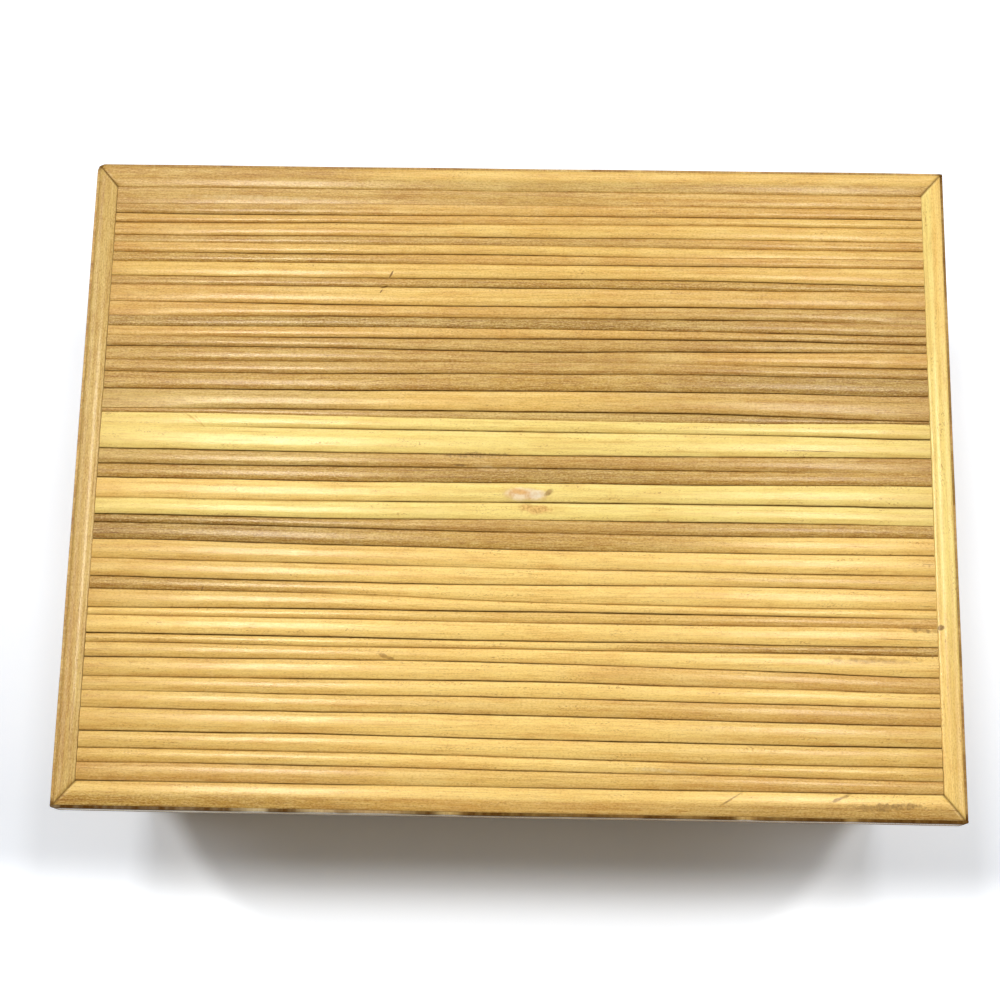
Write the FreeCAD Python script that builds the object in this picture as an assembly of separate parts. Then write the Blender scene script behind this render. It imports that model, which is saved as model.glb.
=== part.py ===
import FreeCAD, Part
import os

# A wooden box for papers and keepsakes with a hinged lid, clad outside in lacquered split cane.
# X runs to the right, Y to the back and Z up. The origin is the middle of the underside.
# All sizes are in millimetres and all angles in degrees.

# Lid: a board with a cane face, and a thin cane strip round its edge
lid_width = 305.0
lid_depth = 231.5
lid_board_thick = 9.0
lid_overhang = 12.3            # edge of the lid beyond the bare walls of the box
lid_seat_gap = 0.2             # closed lid above the rim
edge_strip_thick = 1.0
edge_strip_drop = 0.25         # top of the edge strip below the outer side of the border
lid_border_back = 8.1
lid_border_front = 8.3
lid_border_side = 7.1

# Box: four walls round a base board
box_height = 101.0
wall_thick = 9.0
base_thick = 6.0
base_rebate = 4.0              # depth of the step in the walls that takes the base board
base_clearance = 0.1
box_border = 8.5
box_clad_lift = 0.5            # lower side of the cladding above the ground

# Cane: flattened slats, each split lengthwise into low crowned ribs
cane_side_thick = 1.3
cane_split_thick = 1.0
cane_rib_rise = 0.08           # rise of a rib as a share of its width
border_thick = 1.8             # crown of a border strip
slat_gap = 0.12
slat_end_gap = 0.1

# Widths of the lid's ribs from the back to the front, each as (left end, right end).
# One line is one slat. The ribs share out the depth inside the border in these proportions.
lid_slats = [
    [(6.0, 5.1), (3.6, 4.0)],
    [(3.3, 3.1), (4.7, 5.3)],
    [(2.9, 3.5), (3.9, 3.3)],
    [(3.5, 3.3), (5.3, 6.2)],
    [(3.5, 2.8), (6.3, 6.5)],
    [(5.4, 5.0), (3.1, 4.4)],
    [(4.2, 3.1), (3.6, 3.4)],
    [(5.7, 5.5), (3.9, 3.7)],
    [(6.4, 6.9)],
    [(6.7, 8.5), (2.8, 2.3)],
    [(3.9, 4.3), (8.3, 7.2)],
    [(5.2, 5.0), (5.2, 5.5)],
    [(7.3, 6.9), (5.7, 6.1)],
    [(3.1, 4.7), (5.7, 6.1)],
    [(7.1, 6.9), (6.0, 5.2)],
    [(4.4, 6.2), (6.2, 3.6)],
    [(2.9, 3.4), (6.1, 5.6)],
    [(2.9, 3.3), (5.1, 7.3)],
    [(7.5, 5.5), (4.5, 4.9)],
    [(5.7, 6.0), (7.4, 7.3)],
    [(5.8, 6.5), (4.9, 4.5), (6.0, 4.9)],
]

# Widths of the ribs on the sides of the box from the top down, one line for each slat.
# Each side begins at another slat, so that no two sides look alike.
box_slats = [
    [(5.6, 5.2), (4.3, 4.6)],
    [(4.6, 4.8), (5.7, 5.4)],
    [(6.2, 6.4), (3.8, 3.5)],
    [(5.0, 4.6), (5.2, 5.5)],
    [(3.9, 4.3), (6.4, 6.1)],
    [(5.8, 5.6), (4.4, 4.6)],
    [(4.4, 4.1), (5.5, 5.7)],
    [(6.1, 6.3), (4.9, 4.8)],
]

# Hinges: two brass butt hinges on the back wall, under the overhang of the lid
hinge_from_corner = 45.0       # middle of a hinge to the end of the back wall
leaf_length = 38.0
leaf_width = 10.0              # from the side of the barrel to the free edge
leaf_thick = 0.8
leaf_clearance = 0.3           # cladding and board round a leaf
barrel_radius = 2.0
barrel_clearance = 0.15        # lid board over the barrel
knuckle_count = 5
knuckle_gap = 0.15
pin_radius = 1.0
pin_clearance = 0.05
pin_head_radius = 1.5
pin_head_thick = 0.5

# Hinge screws: countersunk wood screws, three in each leaf
screw_spacing = 13.0
screw_length = 7.0
screw_tip = 2.0
screw_radius = 0.9
screw_head_radius = 1.8
screw_slot_width = 0.45
screw_slot_depth = 0.35
screw_clearance = 0.05

# Places that follow from the sizes above
lid_under = box_height + lid_seat_gap
lid_board_top = lid_under + lid_board_thick
wall_width = lid_width - 2 * lid_overhang
wall_depth = lid_depth - 2 * lid_overhang
back_face = wall_depth / 2
axis_y = back_face + barrel_radius
axis_z = lid_under + leaf_thick - barrel_radius
hinge_middles = [hinge_from_corner - wall_width / 2, wall_width / 2 - hinge_from_corner]

X_AXIS = FreeCAD.Vector(1, 0, 0)
Y_AXIS = FreeCAD.Vector(0, 1, 0)
Z_AXIS = FreeCAD.Vector(0, 0, 1)


def block(x0, x1, y0, y1, z0, z1):
    """A rectangular solid between two corners."""
    return Part.makeBox(x1 - x0, y1 - y0, z1 - z0, FreeCAD.Vector(x0, y0, z0))


def save(name, shape):
    shape.exportStep("parts/" + name + ".step")


def save_group(name, solids):
    """Several separate solids kept in one node."""
    save(name, Part.makeCompound(solids))


# Cane faces. A face is made lying down: U to the right, V up the face, W out of it.

def slat_section(u, lines):
    """Outline of a slat at one end: flat back, square sides, and an arc over each rib."""
    heights = [cane_side_thick] + [cane_split_thick] * (len(lines) - 2) + [cane_side_thick]
    corners = [FreeCAD.Vector(u, v, w) for v, w in zip(lines, heights)]
    edges = []
    for start, end in zip(corners, corners[1:]):
        width = abs(start.y - end.y)
        crown = FreeCAD.Vector(u, (start.y + end.y) / 2, cane_side_thick + cane_rib_rise * width)
        edges.append(Part.Arc(start, crown, end).toShape())
    foot_start = FreeCAD.Vector(u, lines[0], 0)
    foot_end = FreeCAD.Vector(u, lines[-1], 0)
    edges.append(Part.makeLine(corners[-1], foot_end))
    edges.append(Part.makeLine(foot_end, foot_start))
    edges.append(Part.makeLine(foot_start, corners[0]))
    return Part.Wire(edges)


def rib_lines(slats, end, top, bottom):
    """Heights of the rib lines at one end (0 left, 1 right), one list for each slat."""
    total = sum(rib[end] for slat in slats for rib in slat)
    scale = (top - bottom) / total
    rows = []
    v = top
    for slat in slats:
        row = [v]
        for rib in slat:
            v -= rib[end] * scale
            row.append(v)
        row[0] -= slat_gap / 2
        row[-1] += slat_gap / 2
        rows.append(row)
    return rows


def slat_solids(slats, left, right, top, bottom):
    """Slats side by side, each a straight sweep from its left section to its right one."""
    solids = []
    left_rows = rib_lines(slats, 0, top, bottom)
    right_rows = rib_lines(slats, 1, top, bottom)
    for left_row, right_row in zip(left_rows, right_rows):
        ends = [
            slat_section(left + slat_end_gap, left_row),
            slat_section(right - slat_end_gap, right_row),
        ]
        solids.append(Part.makeLoft(ends, True, True))
    return solids


def border_bar(length, width):
    """A strip along U with a crowned face, centred on U and with V from 0 to its width."""
    start = FreeCAD.Vector(-length / 2, 0, cane_side_thick)
    crown = FreeCAD.Vector(-length / 2, width / 2, border_thick)
    end = FreeCAD.Vector(-length / 2, width, cane_side_thick)
    foot_start = FreeCAD.Vector(-length / 2, 0, 0)
    foot_end = FreeCAD.Vector(-length / 2, width, 0)
    outline = Part.Wire([
        Part.Arc(start, crown, end).toShape(),
        Part.makeLine(end, foot_end),
        Part.makeLine(foot_end, foot_start),
        Part.makeLine(foot_start, start),
    ])
    return Part.Face(outline).extrude(X_AXIS * length)


def mitred(bar, corners):
    """The part of a bar inside a four-cornered outline, which gives it its mitred ends."""
    points = [FreeCAD.Vector(u, v, -1) for u, v in corners + corners[:1]]
    outline = Part.Face(Part.makePolygon(points))
    return bar.common(outline.extrude(Z_AXIS * (border_thick + 2))).Solids[0]


def border_solids(width, height, back, front, side):
    """Four crowned strips round a face, mitred from its outer to its inner corners."""
    u, v = width / 2, height / 2
    inner_u, top, bottom = u - side, v - back, front - v
    back_bar = border_bar(width, back)
    back_bar.translate(Y_AXIS * top)
    front_bar = border_bar(width, front)
    front_bar.translate(Y_AXIS * -v)
    left_bar = border_bar(height, side)
    left_bar.rotate(FreeCAD.Vector(), Z_AXIS, 90)
    left_bar.translate(X_AXIS * -inner_u)
    right_bar = border_bar(height, side)
    right_bar.rotate(FreeCAD.Vector(), Z_AXIS, 90)
    right_bar.translate(X_AXIS * u)
    return {
        "back": mitred(back_bar, [(-u, v), (u, v), (inner_u, top), (-inner_u, top)]),
        "front": mitred(front_bar, [(-u, -v), (u, -v), (inner_u, bottom), (-inner_u, bottom)]),
        "left": mitred(left_bar, [(-u, -v), (-u, v), (-inner_u, top), (-inner_u, bottom)]),
        "right": mitred(right_bar, [(u, -v), (u, v), (inner_u, top), (inner_u, bottom)]),
    }


def stand(shape, right, up, out, middle):
    """Puts a cane face made lying down on a board, by the directions of its U, V and W."""
    matrix = FreeCAD.Matrix(
        right.x, up.x, out.x, middle.x,
        right.y, up.y, out.y, middle.y,
        right.z, up.z, out.z, middle.z,
        0, 0, 0, 1)
    placed = shape.copy()
    placed.Placement = FreeCAD.Placement(matrix)
    return placed


# Hinges

def knuckle_spans(middle):
    """The start and end along X of each knuckle of a hinge, from left to right."""
    pitch = leaf_length / knuckle_count
    first = middle - leaf_length / 2
    return [
        (first + i * pitch + knuckle_gap / 2, first + (i + 1) * pitch - knuckle_gap / 2)
        for i in range(knuckle_count)
    ]


def knuckle(x0, x1):
    return Part.makeCylinder(barrel_radius, x1 - x0, FreeCAD.Vector(x0, axis_y, axis_z), X_AXIS)


def pin_bore(middle):
    start = FreeCAD.Vector(middle - leaf_length, axis_y, axis_z)
    return Part.makeCylinder(pin_radius + pin_clearance, 2 * leaf_length, start, X_AXIS)


def screw(clearance=0.0, slotted=True):
    """A countersunk screw along +Z with the face of its head at Z 0, or the hole for it."""
    head = Part.makeCone(screw_head_radius + clearance, screw_radius + clearance, leaf_thick)
    shank = Part.makeCylinder(screw_radius + clearance, screw_length - screw_tip + clearance)
    tip = Part.makeCone(screw_radius + clearance, 0.1, screw_tip,
                        Z_AXIS * (screw_length - screw_tip + clearance))
    body = head.fuse([shank, tip])
    if slotted:
        half = screw_slot_width / 2
        reach = screw_head_radius + 1
        body = body.cut(block(-reach, reach, -half, half, -1, screw_slot_depth))
    return body.removeSplitter()


def box_screw(x, **options):
    """A screw through the box leaf of a hinge into the back wall."""
    body = screw(**options)
    body.rotate(FreeCAD.Vector(), X_AXIS, 90)
    height = axis_z - barrel_radius - leaf_width / 2
    body.translate(FreeCAD.Vector(x, back_face + leaf_thick, height))
    return body


def lid_screw(x, **options):
    """A screw through the lid leaf of a hinge up into the lid board."""
    body = screw(**options)
    body.translate(FreeCAD.Vector(x, axis_y - barrel_radius - leaf_width / 2, lid_under))
    return body


def screw_places(middle):
    return [middle + step * screw_spacing for step in (-1, 0, 1)]


def box_leaf(middle):
    """The leaf on the back wall: a plate, and every other knuckle from the first."""
    x0, x1 = middle - leaf_length / 2, middle + leaf_length / 2
    plate_top = axis_z - barrel_radius - knuckle_gap
    low = axis_z - barrel_radius - leaf_width
    leaf = block(x0, x1, back_face, back_face + leaf_thick, low, plate_top)
    pieces = []
    for start, end in knuckle_spans(middle)[0::2]:
        neck = block(start, end, back_face, back_face + leaf_thick, plate_top, axis_z)
        pieces += [neck, knuckle(start, end)]
    leaf = leaf.fuse(pieces).cut(pin_bore(middle))
    holes = [box_screw(x, clearance=screw_clearance, slotted=False) for x in screw_places(middle)]
    return leaf.cut(holes).removeSplitter()


def lid_leaf(middle):
    """The leaf under the lid board: a plate, and every other knuckle from the second."""
    x0, x1 = middle - leaf_length / 2, middle + leaf_length / 2
    plate_back = axis_y - barrel_radius - knuckle_gap
    inner = axis_y - barrel_radius - leaf_width
    leaf = block(x0, x1, inner, plate_back, lid_under, lid_under + leaf_thick)
    pieces = []
    for start, end in knuckle_spans(middle)[1::2]:
        neck = block(start, end, plate_back, axis_y, lid_under, lid_under + leaf_thick)
        pieces += [neck, knuckle(start, end)]
    leaf = leaf.fuse(pieces).cut(pin_bore(middle))
    holes = [lid_screw(x, clearance=screw_clearance, slotted=False) for x in screw_places(middle)]
    return leaf.cut(holes).removeSplitter()


def hinge_pin(middle):
    """A plain pin through the knuckles with a flat head at each end."""
    half = leaf_length / 2 + knuckle_gap
    start = FreeCAD.Vector(middle - half, axis_y, axis_z)
    far = FreeCAD.Vector(middle + half, axis_y, axis_z)
    pin = Part.makeCylinder(pin_radius, 2 * half, start, X_AXIS)
    heads = [
        Part.makeCylinder(pin_head_radius, pin_head_thick, start, -X_AXIS),
        Part.makeCylinder(pin_head_radius, pin_head_thick, far, X_AXIS),
    ]
    return pin.fuse(heads).removeSplitter()


def cladding_pocket(middle):
    """The opening in the back cladding that clears the box leaf and the barrel."""
    half = leaf_length / 2 + knuckle_gap + pin_head_thick + leaf_clearance
    low = axis_z - barrel_radius - leaf_width - leaf_clearance
    return block(middle - half, middle + half, back_face, back_face + 2 * border_thick,
                 low, box_height + 1)


def lid_recess(middle):
    """The recess under the lid board: as deep as the leaf, and clear over the barrel."""
    half = leaf_length / 2 + leaf_clearance
    inner = axis_y - barrel_radius - leaf_width - leaf_clearance
    plate_back = axis_y - barrel_radius - knuckle_gap
    seat = block(middle - half, middle + half, inner, plate_back,
                 lid_under - 1, lid_under + leaf_thick)
    barrel_half = half + knuckle_gap + pin_head_thick
    over_barrel = block(middle - barrel_half, middle + barrel_half, plate_back,
                        axis_y + barrel_radius + leaf_clearance,
                        lid_under - 1, lid_under + leaf_thick + barrel_clearance)
    return seat.fuse(over_barrel)


# Box

def make_box():
    """The base board in the stepped feet of four butted walls."""
    x, y = wall_width / 2, wall_depth / 2
    inner_x, inner_y = x - wall_thick, y - wall_thick
    step_x, step_y = inner_x + base_rebate, inner_y + base_rebate
    step = block(-step_x, step_x, -step_y, step_y, -1, base_thick)
    walls = {
        "front": block(-x, x, -y, -inner_y, 0, box_height),
        "back": block(-x, x, inner_y, y, 0, box_height),
        "left": block(-x, -inner_x, -inner_y, inner_y, 0, box_height),
        "right": block(inner_x, x, -inner_y, inner_y, 0, box_height),
    }
    holes = [
        box_screw(x_place, clearance=screw_clearance, slotted=False)
        for middle in hinge_middles for x_place in screw_places(middle)
    ]
    walls["back"] = walls["back"].cut(holes)
    for name, wall in walls.items():
        save(name + "_wall", wall.cut(step))
    save("base_board", block(-step_x + base_clearance, step_x - base_clearance,
                             -step_y + base_clearance, step_y - base_clearance, 0, base_thick))


def make_box_cladding():
    """Mitred borders and slats on each side. The front and back faces cover the corners."""
    height = box_height - box_clad_lift
    middle_z = box_clad_lift + height / 2
    corner_width = wall_width + 2 * border_thick
    faces = {
        "front": (corner_width, X_AXIS, -Y_AXIS, -Y_AXIS * back_face),
        "back": (corner_width, -X_AXIS, Y_AXIS, Y_AXIS * back_face),
        "left": (wall_depth, -Y_AXIS, -X_AXIS, -X_AXIS * (wall_width / 2)),
        "right": (wall_depth, Y_AXIS, X_AXIS, X_AXIS * (wall_width / 2)),
    }
    for turn, (name, (width, right, out, foot)) in enumerate(faces.items()):
        rows = box_slats[turn * 3 % len(box_slats):] + box_slats[:turn * 3 % len(box_slats)]
        strips = list(border_solids(width, height, box_border, box_border, box_border).values())
        inner_u, inner_v = width / 2 - box_border, height / 2 - box_border
        slats = slat_solids(rows, -inner_u, inner_u, inner_v, -inner_v)
        middle = foot + Z_AXIS * middle_z
        strips = [stand(strip, right, Z_AXIS, out, middle) for strip in strips]
        slats = [stand(slat, right, Z_AXIS, out, middle) for slat in slats]
        if name == "back":
            pockets = [cladding_pocket(place) for place in hinge_middles]
            strips = [solid for strip in strips for solid in strip.cut(pockets).Solids]
            slats = [solid for slat in slats for solid in slat.cut(pockets).Solids]
        save_group(name + "_border", strips)
        save_group(name + "_slats", slats)


# Lid

def make_lid():
    """The lid board, its cane face and the strips round its edge."""
    x, y = lid_width / 2, lid_depth / 2
    board_x, board_y = x - edge_strip_thick, y - edge_strip_thick
    board = block(-board_x, board_x, -board_y, board_y, lid_under, lid_board_top)
    board = board.cut([lid_recess(middle) for middle in hinge_middles])
    holes = [
        lid_screw(x_place, clearance=screw_clearance, slotted=False)
        for middle in hinge_middles for x_place in screw_places(middle)
    ]
    save("lid_board", board.cut(holes))

    top = Z_AXIS * lid_board_top
    borders = border_solids(2 * board_x, 2 * board_y, lid_border_back, lid_border_front,
                            lid_border_side)
    for name, strip in borders.items():
        strip.translate(top)
        save("lid_border_" + name, strip)
    slats = slat_solids(lid_slats, lid_border_side - board_x, board_x - lid_border_side,
                        board_y - lid_border_back, lid_border_front - board_y)
    for number, slat in enumerate(slats, 1):
        slat.translate(top)
        save("lid_slat_%02d" % number, slat)

    strip_top = lid_board_top + cane_side_thick - edge_strip_drop
    save("lid_edge_front", block(-x, x, -y, -board_y, lid_under, strip_top))
    save("lid_edge_back", block(-x, x, board_y, y, lid_under, strip_top))
    save("lid_edge_left", block(-x, -board_x, -board_y, board_y, lid_under, strip_top))
    save("lid_edge_right", block(board_x, x, -board_y, board_y, lid_under, strip_top))


def make_hinges():
    for side, middle in zip(("left", "right"), hinge_middles):
        save(side + "_hinge_box_leaf", box_leaf(middle))
        save(side + "_hinge_lid_leaf", lid_leaf(middle))
        save(side + "_hinge_pin", hinge_pin(middle))
    places = [x for middle in hinge_middles for x in screw_places(middle)]
    save_group("box_hinge_screws", [box_screw(x) for x in places])
    save_group("lid_hinge_screws", [lid_screw(x) for x in places])


os.makedirs("parts", exist_ok=True)
make_box()
make_box_cladding()
make_lid()
make_hinges()
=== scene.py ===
import math

import bpy
import numpy as np
from mathutils import Matrix, Vector


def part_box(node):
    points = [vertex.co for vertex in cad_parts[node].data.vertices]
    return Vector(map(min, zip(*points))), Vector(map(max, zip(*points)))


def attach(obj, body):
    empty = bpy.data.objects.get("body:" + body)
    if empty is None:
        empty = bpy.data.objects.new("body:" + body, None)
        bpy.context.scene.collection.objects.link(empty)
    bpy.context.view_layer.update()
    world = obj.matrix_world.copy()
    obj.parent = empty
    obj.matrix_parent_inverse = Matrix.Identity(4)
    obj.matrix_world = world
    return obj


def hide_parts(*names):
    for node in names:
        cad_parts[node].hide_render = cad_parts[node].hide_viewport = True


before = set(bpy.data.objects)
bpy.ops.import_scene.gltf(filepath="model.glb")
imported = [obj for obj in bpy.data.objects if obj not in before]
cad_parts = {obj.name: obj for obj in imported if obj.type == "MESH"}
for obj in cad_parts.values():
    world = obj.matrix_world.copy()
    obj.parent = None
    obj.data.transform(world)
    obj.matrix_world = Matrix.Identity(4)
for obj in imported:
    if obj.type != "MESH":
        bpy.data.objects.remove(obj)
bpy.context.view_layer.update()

# A hinged wooden box clad in lacquered split cane. The frame is in metres, with X to the right, Y
# to the back and Z up. Sizes here are in millimetres, unless their comment says otherwise.
# The boards, hinges and screws are the frame's own meshes with wood and brass finishes. The cane
# is made here: every rib is a height worked out over a fine grid, with its splits, dirt, tone and
# painted shade and light.

MM = 0.001
SEED = 1207

# Sizes taken from the frame
board_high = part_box("lid_board")[1] / MM
strip_low, strip_high = (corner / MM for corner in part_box("lid_edge_front"))
back_border_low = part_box("lid_border_back")[0] / MM
front_border_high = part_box("lid_border_front")[1] / MM
left_border_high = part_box("lid_border_left")[1] / MM
wall_low, wall_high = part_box("front_wall")[0] / MM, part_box("back_wall")[1] / MM
clad_low, clad_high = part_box("front_border")[0] / MM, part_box("back_border")[1] / MM

# Slats: height of the flat top, widths between which a wide rib grows higher and a narrow one
# reaches its height, and the gap that a slat leaves on each side
PLATEAU = 1.68
WIDE_RIB, WIDE_LIFT = (4.0, 8.0), 0.25
NARROW_RIB, NARROW_DROP = (2.5, 4.0), 0.12
SEAM_GAP = 0.05

# Lines between ribs, from 0 for clean to 1 for black: the valley's depth and the power it falls
# by, its share at a clean line and the darkness from which it is whole, and the split in it
VALLEY_DEPTH, VALLEY_POWER = 0.50, 2.7
FAINT_VALLEY, WHOLE_VALLEY_DARK = 0.3, 0.5
SPLIT_DEPTH, SPLIT_HALF_WIDTH, SPLIT_DARK = 0.45, 0.11, (0.15, 0.95)
DIRT_HALF_WIDTH, DIRT_WIDENING, DIRT_GAIN, DIRT_POWER = 0.15, 0.14, 1.15, 1.3

# Stains beside a line, more on a rib's front side, where the extra is painted shade, painted light
# that makes the back third of a rib paler, and darkening towards a slat's ends. The strengths are
# for red, green, blue and the fibres.
BACK_STAIN, FRONT_STAIN_AND_SHADE, STAIN_AND_SHADE_REACH, STAIN_AND_SHADE_DARK = 0.05, 0.14, 0.6, 0.4
BACK_PAINTED_LIGHT, PAINTED_LIGHT_PLACE, PAINTED_LIGHT_REACH = 0.045, 0.22, 0.16
END_DARKENING, END_REACH = 0.13, 18.0
STAIN_AND_SHADE_STRENGTH = np.array([0.75, 1.0, 1.3, 0.0])

# Border strips: height at the crown and at the sides, rounded sides, mitre joints, and where the
# outer tone gives way to the inner one. Dirt is its reach, darkness, step and drift.
BORDER_CROWN, BORDER_SIDE, CROWN_POWER = 1.8, 1.3, 2.4
ROUND_DEPTH, ROUND_REACH = 0.18, 0.16
MITRE_DEPTH, MITRE_REACH, MITRE_DARK, MITRE_DIRT_REACH = 0.25, 0.12, 0.8, 0.2
TONE_BLEND = (0.35, 0.65)
OUTER_DIRT = (0.2, 0.10, 18.0, 0.15)
INNER_DIRT_REACH, INNER_DIRT_STEP = 0.22, 12.0
INNER_LINE = (0.7, 0.3)

# Edge strips: the rounding of an arris, rows across the flat, how far the strip lies under its
# full thickness, the parts of its height from which it is rim and up to which it is foot, which
# takes painted shade, the drift between which the rim's dirt sets in, and the dirt all over and
# at the ends
ARRIS, ARRIS_CUT = 0.15, 0.045
BAND_ROWS = (0.2, 0.36, 0.6, 0.76)
STRIP_SINK = 0.06
RIM_FROM, FOOT_TO = 0.7, 0.25
RIM_BREAKS = (-0.65, 0.05)
STRIP_SOIL, END_SOIL, END_SOIL_REACH = 0.12, 0.85, 2.0

# Chance drifts along a piece, each a step and a size: of a rib's height, its lines, their dirt
# and its tone, of a border's inner side and height, and of an edge strip's rim, face and dirt
LIFT_DRIFT = (35.0, 0.05)
LINE_DRIFTS = ((40.0, 0.12), (13.0, 0.06))
DIRT_DRIFTS = ((27.0, 0.20), (6.0, 0.12))
TONE_DRIFT = (60.0, 0.07)
BORDER_SIDE_DRIFT, BORDER_HEIGHT_DRIFT = (40.0, 0.12), (30.0, 0.03)
RIM_DRIFT, STRIP_DRIFT, BREAK_DRIFT = (22.0, 0.08), (30.0, 0.06), (7.0, 0.6)
SOIL_DRIFT = (9.0, 0.15)

# Shifts of the grain's pattern, so that no two pieces of cane show the same fibres
PIECE_SHIFT, RIB_SHIFT, BORDER_SHIFT, EDGE_SHIFT = 31.7, 11.3, 23.9, 19.3
BORDER_GRAIN, EDGE_GRAIN = 60.0, 90.0
FIRST_SIDE_STRIP = 10

# Spacing of the grid along the pieces
LID_STEP, LID_BORDER_STEP, LID_EDGE_STEP = 0.9, 1.0, 1.2
SIDE_STEP, SIDE_BORDER_STEP = 1.4, 1.5
SHARP_ANGLE = math.radians(50)

# Rounding of the lid's corners, by their side in X and Y
CORNER_RADII = {(-1, 1): 3.0, (1, 1): 0.8, (1, -1): 0.8, (-1, -1): 0.9}
LEAST_RADIUS = 0.05

# Tones of the cane under its lacquer, by the letter that the tables below use, each with how
# strongly the fibres show in it
TONES = {
    "g": ("#ecc266", 0.5),    # golden
    "h": ("#ddae57", 0.6),    # honey
    "t": ("#c99e4d", 0.75),   # tan
    "b": ("#c59941", 0.9),    # brown
    "u": ("#b38b39", 1.0),    # umber
    "e": ("#d0ac5c", 0.7),    # beige
    "s": ("#f9de7f", 0.35),   # straw
    "y": ("#fdd577", 0.45),   # butter yellow
    "p": ("#e4d4ac", 0.4),    # pale bare cane
}
MIDDLE_CHANGE, LAST_CHANGE = (0.15, 0.45), (0.55, 0.85)   # where a rib's tone changes

# The lid's ribs from the back to the front, one row of the table for each slat. A rib is its
# tones at the left, middle and right, where the line along its front side lies at five
# stations, in mm to the back of the lid's middle, and how dark it is there, from 0 to 9.
LID_RIBS = [
    [("tth", (100.4, 100.9, 101.4, 101.5, 101.5), "11134"),
     ("thh", (96.6, 96.8, 97.3, 97.6, 97.6), "54445")],
    [("hhg", (93.2, 93.7, 94.0, 94.4, 94.3), "55334"),
     ("hgg", (88.4, 88.7, 89.0, 89.2, 89.0), "24432")],
    [("tth", (85.6, 85.6, 85.9, 85.7, 85.5), "13234"),
     ("hgg", (81.8, 82.0, 82.2, 82.0, 82.0), "35600")],
    [("bhh", (78.3, 78.5, 78.6, 78.8, 78.9), "34464"),
     ("ggg", (72.8, 73.0, 73.1, 73.4, 72.3), "23554")],
    [("tbb", (69.4, 69.6, 69.7, 70.0, 69.9), "25753"),
     ("hgh", (63.2, 62.9, 62.9, 63.4, 63.3), "25665")],
    [("hht", (57.8, 58.3, 58.5, 58.8, 58.2), "16472"),
     ("uut", (53.9, 54.6, 54.5, 54.5, 53.8), "23235")],
    [("hht", (50.2, 50.5, 50.8, 51.3, 50.6), "17686"),
     ("ttt", (46.5, 46.6, 46.1, 46.8, 47.5), "64775")],
    [("bth", (41.2, 41.5, 42.0, 42.2, 41.7), "24127"),
     ("ttt", (36.9, 37.1, 37.8, 38.3, 37.9), "36544")],
    [("bbu", (30.7, 31.0, 31.4, 31.9, 31.4), "57765")],
    [("egt", (23.5, 23.9, 24.1, 24.1, 22.5), "07785"),
     ("teu", (22.1, 21.6, 21.0, 20.8, 21.4), "21112")],
    [("sss", (17.2, 17.0, 16.8, 16.7, 15.9), "05758"),
     ("sss", (8.7, 8.5, 8.2, 8.6, 9.1), "75454")],
    [("ett", (3.4, 3.3, 3.5, 3.5, 3.8), "66660"),
     ("bub", (-1.8, -2.0, -1.8, -1.5, -0.8), "66454")],
    [("yss", (-8.9, -9.2, -8.6, -8.5, -8.6), "34889"),
     ("sss", (-14.9, -15.2, -14.8, -14.8, -14.8), "76262")],
    [("utb", (-17.8, -18.5, -19.3, -19.5, -19.1), "57464"),
     ("uby", (-23.6, -24.5, -25.4, -25.5, -25.5), "56646")],
    [("gyy", (-30.5, -31.2, -31.9, -32.2, -32.6), "45475"),
     ("gyg", (-36.7, -37.5, -37.8, -37.3, -37.4), "57555")],
    [("byy", (-41.2, -41.5, -43.6, -44.1, -44.3), "54454"),
     ("gyy", (-47.5, -47.1, -46.9, -47.1, -47.3), "48882")],
    [("ygh", (-50.3, -50.4, -50.7, -50.7, -50.6), "45452"),
     ("yyy", (-56.5, -56.7, -57.0, -57.0, -57.1), "79753")],
    [("gyb", (-59.5, -59.9, -59.9, -59.9, -60.0), "44454"),
     ("gyy", (-64.6, -64.5, -64.6, -65.6, -67.3), "66656")],
    [("gyh", (-71.4, -71.2, -70.9, -71.7, -72.7), "47854"),
     ("gyy", (-76.1, -76.3, -76.4, -77.1, -77.6), "25555")],
    [("ggh", (-82.0, -82.2, -82.4, -83.1, -83.6), "57776"),
     ("gyg", (-89.7, -89.8, -90.3, -90.7, -91.0), "76777")],
    [("gyg", (-95.4, -95.7, -96.3, -97.2, -97.6), "66565"),
     ("gyg", (-100.2, -100.4, -100.8, -101.3, -102.1), "46554"),
     ("hgh", (-106.45, -106.45, -106.45, -106.45, -106.45), "55577")],
]
FIRST_LINE_DARK = "21224"
DARKEST = 9
STATIONS = np.array([0.04, 0.27, 0.5, 0.73, 0.96])

# The ribs of each side of the box from the top down: two to a slat, as (width, width, tones)
SIDE_SLATS = [
    (5.4, 4.5, "gh"), (4.7, 5.5, "yg"), (6.3, 3.7, "gt"), (4.8, 5.3, "tb"),
    (4.1, 6.2, "gy"), (5.7, 4.5, "hg"), (4.3, 5.6, "yy"), (6.2, 4.9, "gh"),
]
SIDE_BORDER = 8.5
SIDE_BORDER_TONES = ("ghg", "gyg")
SIDE_FIRST_DARK = "55555"
SIDE_LINE_DRIFT = 0.35
SIDE_DARKS, SIDE_DARK_CHANGES = (3, 8), (-3, 3)
SLATS_TURNED = 3   # slats that each side's order begins after the one before

# The hinge pockets in the back's cane: room beside the hinge, heights and depth
POCKET_ROOM, POCKET_FOOT, POCKET_TOP, POCKET_DEPTH = 0.3, 87.7, 128.0, 8.0


# Colours and small curves

def linear(code):
    """A hex colour as it is written on a screen, turned to linear light by the sRGB curve."""
    parts = [int(code[i:i + 2], 16) / 255 for i in (1, 3, 5)]
    return [c / 12.92 if c <= 0.04045 else ((c + 0.055) / 1.055) ** 2.4 for c in parts]


PALETTE = {letter: np.array(linear(code) + [fibre]) for letter, (code, fibre) in TONES.items()}


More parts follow.
